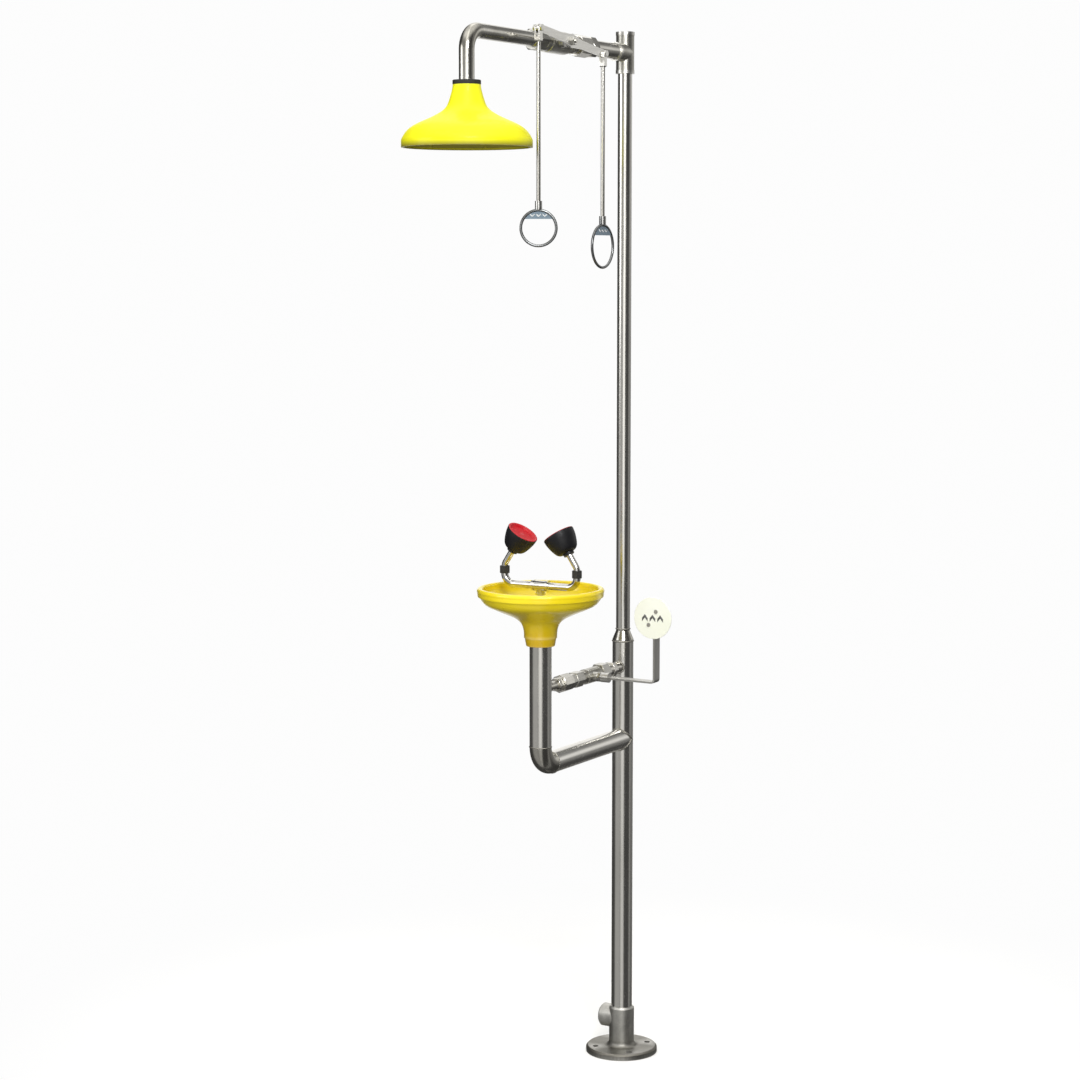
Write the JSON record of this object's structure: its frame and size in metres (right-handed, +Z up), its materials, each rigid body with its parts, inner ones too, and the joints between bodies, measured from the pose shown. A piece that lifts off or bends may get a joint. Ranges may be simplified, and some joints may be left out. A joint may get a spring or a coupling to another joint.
{
  "type": "eyewash station",
  "caption": "Floor-mounted stainless column with an overhead drench shower on pull rods and a yellow eyewash bowl with capped nozzles and a push plate.",
  "frame": {"origin": "centre of the floor flange's underside, on the floor", "axes": "+Z up the column; -Y from the column towards the bowl, the shower head and the user; +X along both valve stems; the waste outlet on the hub points along -X"},
  "size_m": [0.3557, 0.8745, 2.338],
  "materials": {
    "pipe_steel": "polished stainless tube, dark reflections",
    "cast_steel": "satin cast stainless",
    "fitting_steel": "machined stainless fittings",
    "fastener_steel": "bright stainless fasteners",
    "ball_chrome": "polished",
    "ptfe": "waxy white",
    "gasket_rubber": "black rubber",
    "shower_yellow": "glossy lemon yellow",
    "bowl_yellow": "glossy golden yellow",
    "cup_black": "moulded black",
    "cap_red": "glossy red",
    "disc_white": "moulded white",
    "ring_plate": "blue-grey",
    "sign_plate": "pale greenish white"
  },
  "bodies": {
    "station": {"base_flange": "cast_steel", "lower_column_pipe": "pipe_steel", "column_blanking_disc": "pipe_steel", "column_reducer": "pipe_steel", "upper_column_pipe": "pipe_steel", "top_tee": "cast_steel", "arm_nipple": "pipe_steel", "shower_union_body": "fitting_steel", "shower_union_nut": "fitting_steel", "shower_union_tail": "fitting_steel", "shower_valve_body": "cast_steel", "shower_valve_end_cap": "cast_steel", "shower_valve_seals": "ptfe", "gland_nuts": "fastener_steel", "gaskets": "gasket_rubber", "shower_arm_pipe": "pipe_steel", "shower_head_collar": "gasket_rubber", "shower_head_shell": "shower_yellow", "shower_spray_plate": "shower_yellow", "spray_plate_screws": "fastener_steel", "branch_nipple": "fitting_steel", "eyewash_valve_body": "cast_steel", "eyewash_valve_end_cap": "cast_steel", "eyewash_valve_seals": "ptfe", "eyewash_union_tail": "fitting_steel", "eyewash_union_nut": "fitting_steel", "eyewash_union_end": "fitting_steel", "inner_supply_pipe": "pipe_steel", "yoke_tee": "fitting_steel", "yoke_tubes": "pipe_steel", "yoke_fittings": "gasket_rubber", "nozzle_cups": "cup_black", "spray_discs": "disc_white", "bowl_shell": "bowl_yellow", "bowl_collar": "bowl_yellow", "drain_strainer": "fitting_steel", "bowl_riser_pipe": "pipe_steel", "drain_elbow": "pipe_steel", "drain_arm_pipe": "pipe_steel"},
    "rocker": {"shower_valve_ball": "ball_chrome", "shower_valve_stem": "fitting_steel", "rocker_lever": "fitting_steel", "rocker_nut": "fastener_steel"},
    "outer_rod": {"outer_hanger_clevis": "fitting_steel", "outer_hanger_bolt": "fastener_steel", "outer_pull_rod": "pipe_steel"},
    "inner_rod": {"inner_hanger_clevis": "fitting_steel", "inner_hanger_bolt": "fastener_steel", "inner_pull_rod": "pipe_steel"},
    "outer_ring": {"outer_pull_ring": "pipe_steel", "outer_ring_plate": "ring_plate"},
    "inner_ring": {"inner_pull_ring": "pipe_steel", "inner_ring_plate": "ring_plate"},
    "push_handle": {"eyewash_valve_ball": "ball_chrome", "eyewash_valve_stem": "fitting_steel", "push_handle_bar": "fitting_steel", "push_plate": "sign_plate", "push_handle_screws": "fastener_steel"},
    "left_cap": {"left_dust_cap": "cap_red"},
    "right_cap": {"right_dust_cap": "cap_red"}
  },
  "joints": [
    {"name": "shower_rocker", "type": "hinge", "parent": "station", "child": "rocker", "pos_m": [0.0475, -0.321, 2.292], "axis": [1, 0, 0], "range_deg": [-38, 52]},
    {"name": "outer_hanger_pivot", "type": "hinge", "parent": "rocker", "child": "outer_rod", "pos_m": [0.0475, -0.45698, 2.3087], "axis": [1, 0, 0], "range_deg": [-52, 38]},
    {"name": "inner_hanger_pivot", "type": "hinge", "parent": "rocker", "child": "inner_rod", "pos_m": [0.0475, -0.18502, 2.2753], "axis": [1, 0, 0], "range_deg": [-52, 38]},
    {"name": "outer_ring_swivel", "type": "hinge", "parent": "outer_rod", "child": "outer_ring", "pos_m": [0.0475, -0.45698, 1.94], "axis": [0, 0, 1], "continuous": true},
    {"name": "inner_ring_swivel", "type": "hinge", "parent": "inner_rod", "child": "inner_ring", "pos_m": [0.0475, -0.18502, 1.915], "axis": [0, 0, 1], "continuous": true},
    {"name": "push_handle", "type": "hinge", "parent": "station", "child": "push_handle", "pos_m": [0.045, -0.16, 0.907], "axis": [-1, 0, 0], "range_deg": [0, 90]},
    {"name": "left_cap_lift", "type": "slide", "parent": "station", "child": "left_cap", "axis": [0.5446, 0, 0.8387], "range_m": [0, 0.025]},
    {"name": "right_cap_lift", "type": "slide", "parent": "station", "child": "right_cap", "axis": [-0.5446, 0, 0.8387], "range_m": [0, 0.025]}
  ],
  "couplings": [
    {"joint": "outer_hanger_pivot", "follows": "shower_rocker", "ratio": -1},
    {"joint": "inner_hanger_pivot", "follows": "shower_rocker", "ratio": -1}
  ]
}
